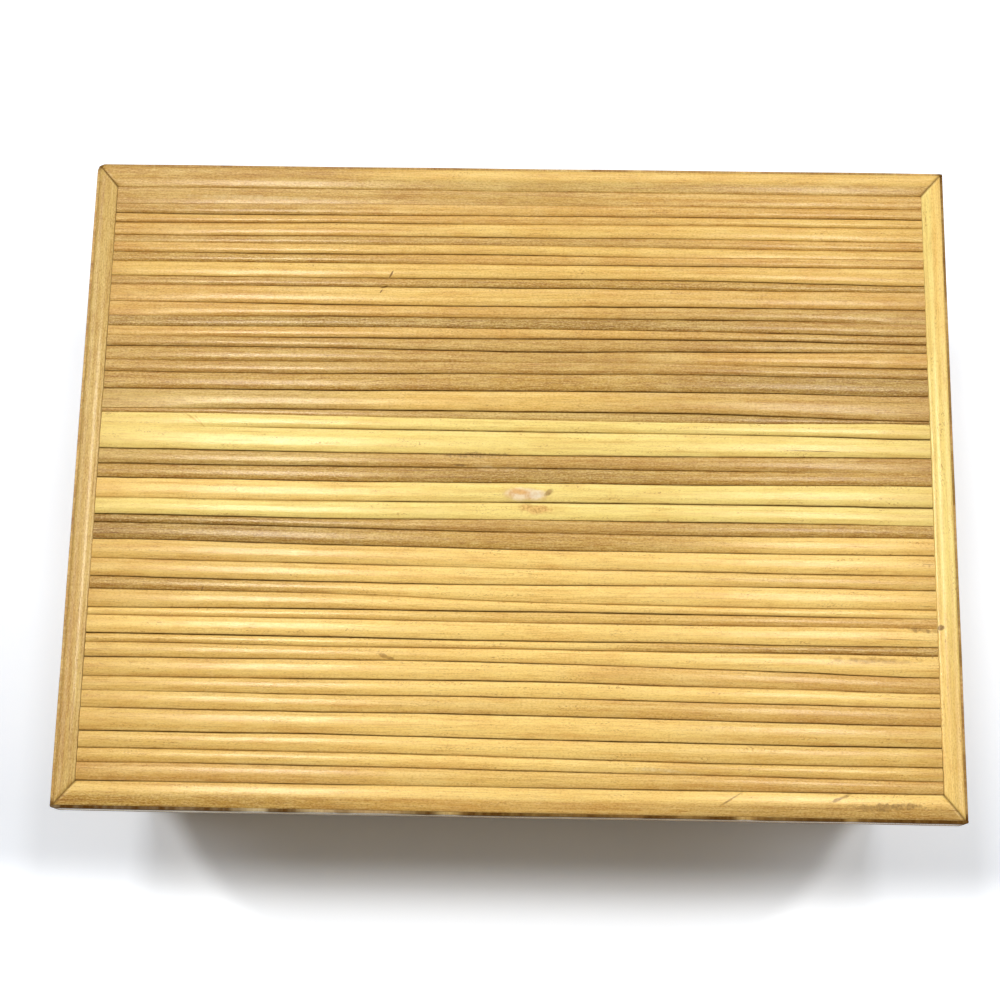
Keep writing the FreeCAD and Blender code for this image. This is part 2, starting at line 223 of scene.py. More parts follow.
def smooth(low, high, x):
    """Rises from 0 at low to 1 at high along a cubic."""
    t = np.clip((x - low) / (high - low), 0, 1)
    return t * t * (3 - 2 * t)


def wander(rng, x, *drifts):
    """A smooth random course, the sum of its drifts. Each is a step and a size: random heights
    of up to that size at every step, joined by cosines."""
    course = 0
    for step, size in drifts:
        cells = (x - x.min()) / step
        heights = rng.uniform(-size, size, int(cells.max()) + 3)
        index = cells.astype(int)
        share = (1 - np.cos(np.pi * (cells - index))) / 2
        course = course + heights[index] * (1 - share) + heights[index + 1] * share
    return course


def through_stations(u, values):
    """A cubic from each station to the next, with the slope at a station from its neighbours."""
    values = np.array(values, float)
    slopes = np.gradient(values, STATIONS)
    k = np.clip(np.searchsorted(STATIONS, u) - 1, 0, len(STATIONS) - 2)
    span = STATIONS[k + 1] - STATIONS[k]
    t = np.clip((u - STATIONS[k]) / span, 0, 1)
    return (values[k] * (2 * t ** 3 - 3 * t ** 2 + 1) + values[k + 1] * (3 * t ** 2 - 2 * t ** 3)
            + span * (slopes[k] * (t ** 3 - 2 * t ** 2 + t) + slopes[k + 1] * (t ** 3 - t ** 2)))


def even_steps(half, step):
    """Places from -half to half, about a step apart."""
    return np.linspace(-half, half, int(2 * half / step) + 1)


def tones_along(rng, x, u, letters):
    """Colours along a rib: its tones at the left, middle and right, blended with drifting ends."""
    first, middle, last = (PALETTE[letter] for letter in letters)
    place = u + wander(rng, x, TONE_DRIFT)
    to_middle = smooth(*MIDDLE_CHANGE, place)[:, None]
    to_last = smooth(*LAST_CHANGE, place)[:, None]
    return first + (middle - first) * to_middle + (last - middle) * to_last


# Meshes

def swept(name, rings, facts, material, body, replaced=()):
    """A closed piece from rings of points: quads between neighbouring rings, a face on each end,
    all turned outward by the sign of the volume that the quads enclose. The rings are an array
    (ring, point, 3) in millimetres. Facts are per-point attributes."""
    count, size, _ = rings.shape
    index = np.arange(count * size).reshape(count, size)
    near, far = index[:-1], index[1:]
    quads = np.stack([near, far, np.roll(far, -1, 1), np.roll(near, -1, 1)], -1).reshape(-1, 4)
    caps = [index[0], index[-1][::-1]]
    points = rings.reshape(-1, 3) * MM
    a, b, c, d = (points[quads[:, k]] for k in range(4))
    volume = (np.cross(c - a, d - b) * ((a + b + c + d) / 4 - points.mean(0))).sum()
    if volume < 0:
        quads, caps = quads[:, ::-1], [cap[::-1] for cap in caps]
    corners = np.concatenate([quads.ravel(), *caps])
    starts = np.concatenate([np.arange(len(quads) + 1) * 4, [len(quads) * 4 + size]])
    mesh = bpy.data.meshes.new(name)
    mesh.vertices.add(len(points))
    mesh.vertices.foreach_set("co", points.astype(np.float32).ravel())
    mesh.loops.add(len(corners))
    mesh.loops.foreach_set("vertex_index", corners.astype(np.int32))
    mesh.polygons.add(len(starts))
    mesh.polygons.foreach_set("loop_start", starts.astype(np.int32))
    for fact, values in facts.items():
        kind, field = ("FLOAT_VECTOR", "vector") if values.ndim == 3 else ("FLOAT", "value")
        layer = mesh.attributes.new(fact, kind, "POINT")
        layer.data.foreach_set(field, values.reshape(-1).astype(np.float32))
    mesh.update(calc_edges=True)
    mesh.validate()
    mesh.shade_smooth()
    mesh.set_sharp_from_angle(angle=SHARP_ANGLE)
    mesh.materials.append(material)
    piece = bpy.data.objects.new(name, mesh)
    bpy.context.scene.collection.objects.link(piece)
    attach(piece, body)
    if replaced:
        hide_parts(*replaced)
    return piece


def joined(name, parts, replaced):
    """Several pieces made one, in the place of a node."""
    with bpy.context.temp_override(active_object=parts[0], selected_editable_objects=parts,
                                   selected_objects=parts):
        bpy.ops.object.join()
    parts[0].name = name
    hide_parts(replaced)


def with_feet(part):
    """Rows across a piece with the first and the last row doubled, for its feet on the board."""
    return np.concatenate([part[:1], part, part[-1:]])


def cane_facts(tone, line, grain):
    """A cane piece's per-point facts, from arrays whose first axis runs across the piece."""
    return {"tone": tone[..., :3].transpose(1, 0, 2), "fibre": tone[..., 3].T,
            "line": line.T, "grain": grain.transpose(1, 0, 2)}


class Face:
    """Where a cane face lies: its middle, and the directions of U, V and W out of it."""

    def __init__(self, middle, right, up, out):
        self.middle = np.array(middle, float)
        self.axes = np.array([right, up, out], float)

    def rings(self, u, v, w):
        """Points of a piece, ring by ring, from arrays whose first axis runs across it."""
        return (np.stack([u, v, w], -1) @ self.axes + self.middle).transpose(1, 0, 2)


# Directions of U, V and W on the four upright sides
SIDE_AXES = {
    "front": ((1, 0, 0), (0, 0, 1), (0, -1, 0)),
    "back": ((-1, 0, 0), (0, 0, 1), (0, 1, 0)),
    "left": ((0, -1, 0), (0, 0, 1), (-1, 0, 0)),
    "right": ((0, 1, 0), (0, 0, 1), (1, 0, 0)),
}


def upright_face(side, away, height):
    """A face that looks out to one side, at a distance from the box's middle and a height."""
    right, up, out = SIDE_AXES[side]
    return Face(np.array(out) * away + (0, 0, height), right, up, out)


# Cane slats

EDGE_ROWS = np.array([0.0, 0.07, 0.16, 0.3, 0.52])
INNER_ROWS = np.linspace(0, 1, 8)[1:-1]


def rib_rows(width):
    """Distances of a rib's rows from its back side: close together beside both lines."""
    last = EDGE_ROWS[-1]
    inner = last + (width[None] - 2 * last) * INNER_ROWS[:, None]
    near = np.repeat(EDGE_ROWS[:, None], len(width), 1)
    return np.concatenate([near, inner, width[None] - near[::-1]])


def dirt_line(away, dark):
    """Dirt in a split: a bell across the line that is wider where the line is darker."""
    half_width = DIRT_HALF_WIDTH + DIRT_WIDENING * dark
    return np.exp(-(away / half_width) ** 2) * np.clip(DIRT_GAIN * dark ** DIRT_POWER, 0, 1)


def slat_rings(rng, face, x, lines, inks, tones, number):
    """Rings of one slat. Its height is a plateau, less a valley that rises from each line to the
    middle of the rib as a power of the distance, less a narrow bell-shaped split on the line
    itself. The tone darkens towards the lines with stain, and further on the rib's front side
    with painted shade. The back third is a little paler with painted light. The tone also
    darkens towards the slat's ends."""
    # The tone darkens towards the slat's ends.
    end = np.minimum(x - x[0], x[-1] - x)
    ends_darker = (END_DARKENING * np.exp(-end / END_REACH))[:, None] * STAIN_AND_SHADE_STRENGTH
    ribs = []
    for k, rib_tone in enumerate(tones):
        width = lines[k] - lines[k + 1]
        away = rib_rows(width)
        height = PLATEAU + wander(rng, x, LIFT_DRIFT) + WIDE_LIFT * smooth(*WIDE_RIB, width) \
            - NARROW_DROP * (1 - smooth(*NARROW_RIB, width))
        # Painted light: the back third of the rib is made paler, as a negative stain.
        stain_shade_and_light = -BACK_PAINTED_LIGHT * np.exp(-((away / width - PAINTED_LIGHT_PLACE) / PAINTED_LIGHT_REACH) ** 2)
        ink = 0
        # Stain beside each line. On the rib's front side it is stronger, and the extra is painted
        # shade.
        for reach, dark, shade in ((away, inks[k], BACK_STAIN),
                                   (width - away, inks[k + 1], FRONT_STAIN_AND_SHADE)):
            fall = np.clip(1 - 2 * reach / width, 0, 1) ** VALLEY_POWER
            share = FAINT_VALLEY + (1 - FAINT_VALLEY) * smooth(0, WHOLE_VALLEY_DARK, dark)
            split = np.exp(-(reach / SPLIT_HALF_WIDTH) ** 2) * smooth(*SPLIT_DARK, dark)
            height = height - VALLEY_DEPTH * fall * share - SPLIT_DEPTH * split
            stain_shade_and_light = stain_shade_and_light + shade * np.exp(-reach / STAIN_AND_SHADE_REACH) * smooth(0, STAIN_AND_SHADE_DARK, dark)
            ink = ink + dirt_line(reach, dark)
        tone = rib_tone * (1 - ends_darker) * (1 - stain_shade_and_light[..., None] * STAIN_AND_SHADE_STRENGTH)
        across = away + number * PIECE_SHIFT + k * RIB_SHIFT
        shared = min(k, 1)   # the row on a line belongs to the rib behind it
        ribs.append([part[shared:] for part in (lines[k] - away, height, ink, tone, across)])
    v, w, ink, tone, across = (with_feet(np.concatenate(parts)) for parts in zip(*ribs))
    v[:2] -= SEAM_GAP
    v[-2:] += SEAM_GAP
    w[[0, -1]] = 0
    u = np.broadcast_to(x, v.shape)
    grain = np.stack([u, across, np.full_like(v, number)], -1)
    return face.rings(u, v, w), cane_facts(tone, ink, grain)


def line_courses(rng, x, u, ribs, first_dark, top, bottom):
    """Where each line between ribs runs, and how dark its dirt is, from 0 to 1."""
    lines = [np.full_like(x, top)]
    for tones, places, dark in ribs:
        lines.append(through_stations(u, places) + wander(rng, x, *LINE_DRIFTS))
    lines[-1] = np.full_like(x, bottom)
    inks = []
    for dark in [first_dark] + [rib[-1] for rib in ribs]:
        ink = np.interp(u, STATIONS, [int(digit) / DARKEST for digit in dark])
        inks.append(np.clip(ink * (1 + wander(rng, x, *DIRT_DRIFTS)), 0, 1))
    return np.array(lines), np.array(inks)


def slat_face(name, face, rng, half_u, top, bottom, slats, first_dark, step, material, body,
              replaced=None):
    """All the slats of one cane face, one piece each."""
    x = even_steps(half_u, step)
    u = (x + half_u) / (2 * half_u)
    ribs = [rib for slat in slats for rib in slat]
    lines, inks = line_courses(rng, x, u, ribs, first_dark, top, bottom)
    pieces, first = [], 0
    for number, slat in enumerate(slats, 1):
        last = first + len(slat)
        tones = [tones_along(rng, x, u, rib[0]) for rib in slat]
        rings, facts = slat_rings(rng, face, x, lines[first:last + 1], inks[first:last + 1],
                                  tones, number)
        pieces.append(swept("%s_%02d" % (name, number), rings, facts, material, body,
                            [replaced % number] if replaced else []))
        first = last
    return pieces


# Border and edge strips

BORDER_ROWS = np.array([0, 0.08, 0.2, 0.4])
CROWN_FROM, CROWN_ROWS = 0.8, 9


def with_round_corners(rings, inset):
    """The lid's corners rounded, for a piece whose outer side lies inset from the lid's. Square
    shells about a corner's centre become round ones: each point keeps its larger offset from the
    centre as its distance from it."""
    for side, corner_radius in CORNER_RADII.items():
        radius = max(corner_radius - inset, LEAST_RADIUS)
        centre = side * (np.array([strip_high.x, -strip_low.y]) - inset - radius)
        offset = (rings[..., :2] - centre) * side
        outside = (offset > 0).all(-1)
        reach = np.where(outside, offset.max(-1), 1.0)
        length = np.where(outside, np.linalg.norm(offset, axis=-1), 1.0)
        rings[..., :2] = centre + side * offset * (reach / length)[..., None]
    return rings


def dirt_along(rng, x, away, reach, dark, step, size):
    """Dirt along a strip's side: a bell across it, whose darkness wanders along it."""
    across = np.exp(-(away / reach) ** 2)[:, None]
    return across * np.clip(dark + wander(rng, x, (step, size)), 0, 1)


def border_strip(rng, face, half_outer, half_inner, v_outer, width, inward, tones, step, number,
                 turned, inner_line=INNER_LINE):
    """A crowned strip with mitred ends. Across it the face is a shallow arc with rounded sides;
    along it the length falls from its outer to its inner side. The inner line is how dark its
    dirt is and how much that wanders. A turned strip runs along V."""
    away = np.concatenate([BORDER_ROWS, np.linspace(CROWN_FROM, width - CROWN_FROM, CROWN_ROWS),
                           width - BORDER_ROWS[::-1]])
    share = away / width
    s = np.linspace(-1, 1, int(2 * half_outer / step) + 1)
    x = s * half_outer
    half = (half_outer + (half_inner - half_outer) * share)[:, None]
    u = s * half
    ends = (half - abs(u)) * width / math.hypot(width, half_outer - half_inner)
    bend = (share ** 2)[:, None] * wander(rng, x, BORDER_SIDE_DRIFT)
    v = v_outer + inward * (away[:, None] + bend)
    crown = BORDER_CROWN - (BORDER_CROWN - BORDER_SIDE) * abs(2 * share - 1) ** CROWN_POWER
    for reach in (away, width - away):
        crown = crown - ROUND_DEPTH * np.exp(-(reach / ROUND_REACH) ** 2)
    w = crown[:, None] + wander(rng, x, BORDER_HEIGHT_DRIFT) \
        - MITRE_DEPTH * np.exp(-(ends / MITRE_REACH) ** 2)
    dark, change = inner_line
    inner_dirt = dirt_along(rng, x, width - away, INNER_DIRT_REACH, dark, INNER_DIRT_STEP, change)
    outer_dirt = dirt_along(rng, x, away, *OUTER_DIRT)
    mitre_dirt = MITRE_DARK * np.exp(-(ends / MITRE_DIRT_REACH) ** 2)
    darkening = np.maximum(np.maximum(inner_dirt, outer_dirt), mitre_dirt)
    outer_tone, inner_tone = (tones_along(rng, x, (s + 1) / 2, letters) for letters in tones)
    blend = smooth(*TONE_BLEND, share)[:, None, None]
    tone = outer_tone * (1 - blend) + inner_tone * blend
    across = np.repeat(away[:, None], len(s), 1) + number * BORDER_SHIFT
    u, v, w, darkening, tone, across = map(with_feet, (u, v, w, darkening, tone, across))
    w[[0, -1]] = 0
    grain = np.stack([u, across, np.full_like(u, BORDER_GRAIN + number)], -1)
    rings = face.rings(v, u, w) if turned else face.rings(u, v, w)
    return rings, cane_facts(tone, darkening, grain)


def edge_strip(rng, face, half_u, height, thick, step, number, tones, rim_soil, foot_shade):
    """A thin strip on edge round the lid: a flat band with rounded arrises, standing a little
    proud here and there. Rim soil is how dark the dirt is along its upper side, where it is
    broken into lengths. Foot shade is how dark the painted shade is along its lower side."""
    x = even_steps(half_u, step)
    profile = np.array([
        (0, 0), (0, thick - ARRIS), (ARRIS_CUT, thick - ARRIS_CUT), (ARRIS, thick),
        *((height * share, thick) for share in BAND_ROWS),
        (height - ARRIS, thick), (height - ARRIS_CUT, thick - ARRIS_CUT),
        (height, thick - ARRIS), (height, 0),
    ])
    up, out = profile[:, :1], profile[:, 1:]
    v = up + (up > height / 2) * wander(rng, x, RIM_DRIFT)
    w = out - (out > 0) * (STRIP_SINK + wander(rng, x, STRIP_DRIFT))
    u = np.broadcast_to(x, v.shape)
    end = np.minimum(x + half_u, half_u - x)
    rim, shaded_foot = up > height * RIM_FROM, up < height * FOOT_TO
    broken = smooth(*RIM_BREAKS, wander(rng, x, BREAK_DRIFT))
    # Dirt all over, at the ends and on the rim, and painted shade on the foot.
    soil_and_shade = STRIP_SOIL + END_SOIL * np.exp(-(end / END_SOIL_REACH) ** 2) \
        + rim_soil * rim * broken + foot_shade * shaded_foot
    soil_and_shade = np.clip(soil_and_shade + wander(rng, x, SOIL_DRIFT), 0, 1)
    tone = tones_along(rng, x, (x + half_u) / (2 * half_u), tones)
    tone = np.broadcast_to(tone, (len(v), *tone.shape))
    grain = np.stack([u, v + number * EDGE_SHIFT, np.full_like(v, EDGE_GRAIN + number)], -1)
    return face.rings(u, v, w), cane_facts(tone, soil_and_shade, grain)


# Materials

# The colour Mix node's sockets: how much, the colour below, the colour on top, and its result
HOW_MUCH, BELOW, ON_TOP, MIXED = 0, 6, 7, 2


def add(tree, kind, inputs=None, out=0, **settings):
    """Adds a node, sets it up, gives each named input a value or a link, and returns an output."""
    node = tree.nodes.new(kind)
    for key, value in settings.items():
        setattr(node, key, value)
    for key, value in (inputs or {}).items():
        if isinstance(value, bpy.types.NodeSocket):
            tree.links.new(value, node.inputs[key])
        else:
            node.inputs[key].default_value = value
    return node.outputs[out] if node.outputs else node


def rgba(code):
    """A hex colour as a socket takes it."""
    return linear(code) + [1.0]


def blank_material(name):
    """A material with an empty tree."""
    material = bpy.data.materials.new(name)
    material.use_nodes = True
    material.node_tree.nodes.clear()
    return material, material.node_tree


def cell_patterns(tree, vector, table):
    """Named noises, each with its own cell size along the three axes of the vector."""
    patterns = {}
    for name, (cell, detail, warp) in table.items():
        cells = add(tree, "ShaderNodeMapping", {
            "Vector": vector, "Scale": [1 / size for size in cell]})
        patterns[name] = add(tree, "ShaderNodeTexNoise", {
            "Vector": cells, "Scale": 1.0, "Detail": detail, "Roughness": 0.6,
            "Distortion": warp})
    return patterns


def layered(tree, colour, patterns, table, strength=None):
    """Colours laid over one another, each where its pattern lies between two values."""
    for name, start, full, share, code, blend, follows in table:
        amount = add(tree, "ShaderNodeMapRange", {
            "Value": patterns[name], "From Min": start, "From Max": full, "To Max": share})
        if follows:
            amount = add(tree, "ShaderNodeMath", {0: amount, 1: strength}, operation="MULTIPLY")
        colour = add(tree, "ShaderNodeMix", {
            HOW_MUCH: amount, BELOW: colour, ON_TOP: rgba(code)}, MIXED,
            data_type="RGBA", blend_type=blend)
    return colour


# Patterns of the cane: cells along the fibre, across it, and from piece to piece, then detail and
# distortion. The real fibres are 0.15 mm apart. They are drawn at twice that, so that they show.
CANE_PATTERNS = {
    "fibres": ((5.0, 0.30, 1.0), 4.0, 0.0),
    "threads": ((26.0, 0.55, 1.0), 3.0, 0.0),
    "streaks": ((45.0, 1.4, 1.0), 3.0, 0.0),
    "patches": ((20.0, 6.0, 1.0), 3.0, 0.5),
    "sand": ((0.9, 0.42, 1.0), 3.0, 0.0),
    "bloom": ((4.5, 1.4, 1.0), 5.0, 0.8),
    "specks": ((1.0, 0.42, 1.0), 2.0, 0.5),
    "speck_places": ((15.0, 2.0, 1.0), 2.0, 0.0),
    "darkening": ((2.2, 0.6, 1.0), 3.0, 0.0),
}

# Pattern, start, full, share, colour, blend, and whether it follows the fibre of the tone
CANE_LAYERS = [
    ("patches", 0.48, 0.72, 0.26, "#dcae66", "MULTIPLY", False),
    ("patches", 0.50, 0.30, 0.16, "#ffe49a", "MIX", False),
    ("streaks", 0.50, 0.70, 0.34, "#c99b54", "MULTIPLY", False),
    ("streaks", 0.48, 0.30, 0.18, "#ffe79c", "MIX", False),
    ("threads", 0.52, 0.68, 0.60, "#b98a44", "MULTIPLY", True),
    ("fibres", 0.50, 0.72, 0.75, "#a87a36", "MULTIPLY", True),
    ("fibres", 0.48, 0.28, 0.42, "#f7dc96", "MIX", True),
    ("sand", 0.50, 0.70, 0.70, "#ad7f3c", "MULTIPLY", True),
    ("sand", 0.48, 0.30, 0.36, "#fbe3a4", "MIX", True),
    ("bloom", 0.58, 0.76, 0.26, "#ecd09a", "MIX", True),
]

LACQUER_TINT = "#ffe7b8"


def split_cane(name, marks=()):
    """Split cane, scraped flat and lacquered. The eye gets long fine fibres, stronger on the
    brown pieces, darker streaks, groups of small brown specks, dirt in the splits, painted shade
    along the foot of the edge strips, and a soft yellowish sheen that the fibres break up."""
    material, tree = blank_material(name)
    grain = add(tree, "ShaderNodeAttribute", out="Vector", attribute_name="grain")
    tone = add(tree, "ShaderNodeAttribute", out="Vector", attribute_name="tone")
    line = add(tree, "ShaderNodeAttribute", out="Fac", attribute_name="line")
    fibre = add(tree, "ShaderNodeAttribute", out="Fac", attribute_name="fibre")
    patterns = cell_patterns(tree, grain, CANE_PATTERNS)
    colour = layered(tree, tone, patterns, CANE_LAYERS, fibre)

    speck = add(tree, "ShaderNodeMapRange", {
        "Value": patterns["specks"], "From Min": 0.54, "From Max": 0.64, "To Max": 0.75})
    place = add(tree, "ShaderNodeMapRange", {
        "Value": patterns["speck_places"], "From Min": 0.54, "From Max": 0.66})
    speck = add(tree, "ShaderNodeMath", {0: speck, 1: place}, operation="MULTIPLY")
    colour = add(tree, "ShaderNodeMix", {
        HOW_MUCH: speck, BELOW: colour, ON_TOP: rgba("#a87434")}, MIXED, data_type="RGBA")
    if marks:
        colour, matt = worn_marks(tree, colour, marks)
    uneven = add(tree, "ShaderNodeMapRange", {
        "Value": patterns["darkening"], "From Min": 0.3, "From Max": 0.6, "To Min": 0.8,
        "To Max": 1.0})
    # The line attribute darkens with dirt in the splits and joints, and with painted shade at the
    # foot of the edge strips.
    darkening = add(tree, "ShaderNodeMath", {0: line, 1: uneven}, operation="MULTIPLY")
    colour = add(tree, "ShaderNodeMix", {
        HOW_MUCH: darkening, BELOW: colour, ON_TOP: rgba("#553303")}, MIXED, data_type="RGBA")

    rough = add(tree, "ShaderNodeMapRange", {
        "Value": patterns["bloom"], "From Min": 0.3, "From Max": 0.75, "To Min": 0.20,
        "To Max": 0.32})
    rough = add(tree, "ShaderNodeMath", {0: darkening, 1: rough}, operation="MAXIMUM")
    if marks:
        rough = add(tree, "ShaderNodeMath", {0: rough, 1: matt}, operation="MAXIMUM")
    height = add(tree, "ShaderNodeMath", {0: patterns["fibres"], 1: fibre},
                 operation="MULTIPLY")
    for pattern, share in (("streaks", 0.8), ("bloom", 0.4)):
        height = add(tree, "ShaderNodeMath", {0: patterns[pattern], 1: share, 2: height},
                     operation="MULTIPLY_ADD")
    bump = add(tree, "ShaderNodeBump", {
        "Height": height, "Strength": 0.6, "Distance": 0.06 * MM})
    coat = add(tree, "ShaderNodeMapRange", {
        "Value": darkening, "From Max": 0.5, "To Min": 0.15, "To Max": 0.0})
    shader = add(tree, "ShaderNodeBsdfPrincipled", {
        "Base Color": colour, "Roughness": rough, "Normal": bump, "IOR": 1.5,
        "Specular IOR Level": 0.42, "Specular Tint": rgba(LACQUER_TINT), "Coat Weight": coat,
        "Coat Roughness": 0.14})
    add(tree, "ShaderNodeOutputMaterial", {"Surface": shader})
    return material


# Marks on the lid: middle x and y, half length, half width, turn in degrees, how far the edge
# wanders, softness, share, colour of its light and dark grains, size of a grain, roughness
LID_MARKS = [
    (4.6, -6.0, 10.2, 3.0, -3, 0.8, 0.6, 0.40, "#c49c58", "#b58845", 1.5, 0.3),
    (4.3, -5.7, 9.4, 2.7, -3, 0.6, 0.45, 0.95, "#f6ddb4", "#dfb078", 2.4, 0.5),
    (2.6, -5.0, 4.0, 1.3, -8, 0.6, 0.6, 0.75, "#ecb466", "#d99a48", 1.8, 0.5),
    (8.4, -5.8, 3.6, 1.7, 12, 0.5, 0.6, 0.80, "#f8e8cc", "#ecd0a4", 1.6, 0.5),
    (12.2, -5.2, 2.1, 1.0, 40, 0.6, 0.5, 0.85, "#a98648", "#86622c", 0.9, 0.4),
    (8.6, -11.0, 8.6, 2.0, -4, 1.2, 0.5, 0.80, "#e4b464", "#b88034", 1.1, 0.4),
    (-9.5, 3.4, 4.2, 1.3, -4, 0.4, 0.3, 0.65, "#dcbc80", "#c9a05c", 1.2, 0.4),
    (-9.3, 2.1, 4.4, 0.45, -4, 0.6, 0.4, 0.55, "#a67d3e", "#94692c", 0.9, 0.4),
    (-1.2, 3.2, 3.9, 1.1, 2, 0.6, 0.4, 0.55, "#dfbf84", "#c29a58", 1.2, 0.4),
    (-13.5, 8.0, 13.0, 1.1, 1, 1.3, 0.4, 0.80, "#c9a565", "#85602a", 0.9, 0.4),
    (-18.6, 4.3, 2.4, 0.5, -2, 0.5, 0.4, 0.75, "#7a5828", "#68481c", 0.8, 0.5),
    (-111.9, 19.6, 5.0, 0.40, -35, 0.9, 0.6, 0.60, "#cf9f44", "#c08a34", 0.9, 0.3),
    (-109.6, 18.6, 3.0, 0.35, -50, 0.9, 0.6, 0.60, "#cf9f44", "#c08a34", 0.9, 0.3),
    (-44.6, 74.4, 1.7, 0.38, 62, 0.5, 0.4, 0.95, "#8a6024", "#6d4714", 0.8, 0.4),
    (-46.8, 69.6, 1.6, 0.36, 20, 0.5, 0.4, 0.95, "#8a6024", "#6d4714", 0.8, 0.4),
    (-48.0, 67.8, 1.1, 0.34, 60, 0.5, 0.4, 0.95, "#8a6024", "#6d4714", 0.8, 0.4),
    (-105.6, -40.6, 1.4, 0.22, 68, 0.5, 0.5, 0.90, "#7a5420", "#5f3f14", 0.8, 0.4),
    (145.8, -50.2, 1.4, 1.1, 20, 0.5, 0.4, 0.95, "#9a7234", "#6e4a16", 0.7, 0.3),
    (139.0, -51.2, 6.6, 1.0, -6, 1.3, 0.5, 0.80, "#bb9048", "#835a22", 0.9, 0.4),
    (122.0, -62.0, 19.0, 1.1, -1, 1.2, 0.7, 0.70, "#b98c44", "#946a2c", 1.1, 0.3),
    (124.9, -110.8, 13.5, 1.3, 1, 1.3, 0.4, 0.85, "#b08640", "#82602a", 1.0, 0.4),
    (73.7, -109.3, 5.0, 0.42, 32, 0.7, 0.5, 0.90, "#a87e3a", "#8a642c", 0.9, 0.4),
    (110.0, -108.4, 5.6, 0.7, 22, 0.9, 0.5, 0.80, "#ae843e", "#8c662e", 0.9, 0.4),
    (50.6, -99.9, 11.0, 0.8, -3, 1.2, 0.6, 0.50, "#f4dca4", "#dcb874", 0.9, 0.3),
    (-42.3, -63.0, 3.4, 0.8, -20, 1.0, 0.5, 0.75, "#a87c38", "#8c6428", 0.8, 0.4),
    (-94.7, 103.0, 28.0, 0.9, -1, 1.2, 0.6, 0.50, "#ecd29c", "#cfae72", 0.9, 0.3),
    (103.9, 11.1, 12.6, 0.18, -1, 0.2, 0.5, 0.95, "#7d5818", "#5c3c0a", 1.2, 0.4),
    (131.0, 29.0, 13.5, 0.15, -1, 0.2, 0.5, 0.85, "#8a6220", "#6c480f", 1.2, 0.4),
    (142.0, -28.4, 2.6, 0.14, -3, 0.2, 0.5, 0.80, "#8a6220", "#6c480f", 1.2, 0.4),
    (141.1, -43.0, 3.3, 0.14, -2, 0.2, 0.5, 0.80, "#8a6220", "#6c480f", 1.2, 0.4),
    (132.6, -54.6, 11.8, 0.15, -1, 0.2, 0.5, 0.85, "#8a6220", "#6c480f", 1.2, 0.4),
]


def worn_marks(tree, colour, marks):
    """Ellipses with wandering edges laid on the colour, and how matt they make the lacquer."""
    position = add(tree, "ShaderNodeTexCoord", out="Object")
    matt = 0.0
    for x, y, half_x, half_y, turn, wild, soft, share, light, dark, grit, rough in marks:
        local = add(tree, "ShaderNodeMapping", {
            "Vector": position, "Location": (x * MM, y * MM, board_high.z * MM),
            "Rotation": (0, 0, math.radians(turn)),
            "Scale": (half_x * MM, half_y * MM, 1.0)}, vector_type="TEXTURE")
        far = add(tree, "ShaderNodeVectorMath", {0: local}, "Value", operation="LENGTH")
        fine = 1 / (grit * MM)
        torn = add(tree, "ShaderNodeTexNoise", {
            "Vector": position, "Scale": fine * 0.35, "Detail": 4.0, "Roughness": 0.6})
        grains = add(tree, "ShaderNodeTexNoise", {
            "Vector": position, "Scale": fine, "Detail": 2.0, "Roughness": 0.6})
        edge = add(tree, "ShaderNodeMath", {0: torn, 1: 2 * wild, 2: far},
                   operation="MULTIPLY_ADD")
        cover = add(tree, "ShaderNodeMapRange", {
            "Value": edge, "From Min": 1.0 + wild, "From Max": 1.0 + wild - soft,
            "To Max": share})
        grained = add(tree, "ShaderNodeMapRange", {
            "Value": grains, "From Min": 0.4, "From Max": 0.62})
        tint = add(tree, "ShaderNodeMix", {
            HOW_MUCH: grained, BELOW: rgba(light), ON_TOP: rgba(dark)}, MIXED,
            data_type="RGBA")
        colour = add(tree, "ShaderNodeMix", {
            HOW_MUCH: cover, BELOW: colour, ON_TOP: tint}, MIXED, data_type="RGBA")
        matt = add(tree, "ShaderNodeMath", {0: cover, 1: rough, 2: matt},
                   operation="MULTIPLY_ADD")
    return colour, matt


# Patterns of bare wood: cells along the grain and across it, detail and distortion
WOOD_PATTERNS = {
    "rings": (190.0, 4.2, 3.0, 0.3),
    "pores": (12.0, 0.35, 2.0, 0.0),
    "clouds": (45.0, 45.0, 2.0, 0.0),
}
WOOD_LAYERS = [
    ("rings", 0.40, 0.68, 0.60, "#cfa972", "MULTIPLY", False),
    ("pores", 0.52, 0.80, 0.40, "#8d683c", "MIX", False),
    ("clouds", 0.42, 0.70, 0.25, "#c79f6c", "MIX", False),
]


def bare_board(name, axis, code):
    """Softwood and birch plywood, sanded and left bare. The eye gets straight grain with early
    and late wood along one axis, fine pores and no shine."""
    material, tree = blank_material(name)
    position = add(tree, "ShaderNodeTexCoord", out="Object")
    patterns = cell_patterns(tree, position, {
        pattern: ([(along if k == axis else across) * MM for k in range(3)], detail, warp)
        for pattern, (along, across, detail, warp) in WOOD_PATTERNS.items()})
    colour = layered(tree, rgba(code), patterns, WOOD_LAYERS)
    rough = add(tree, "ShaderNodeMapRange", {
        "Value": patterns["pores"], "From Min": 0.3, "From Max": 0.7, "To Min": 0.55,
        "To Max": 0.75})
    bump = add(tree, "ShaderNodeBump", {
        "Height": patterns["pores"], "Strength": 0.5, "Distance": 0.05 * MM})
    shader = add(tree, "ShaderNodeBsdfPrincipled", {
        "Base Color": colour, "Roughness": rough, "Normal": bump, "IOR": 1.5})
    add(tree, "ShaderNodeOutputMaterial", {"Surface": shader})
    return material


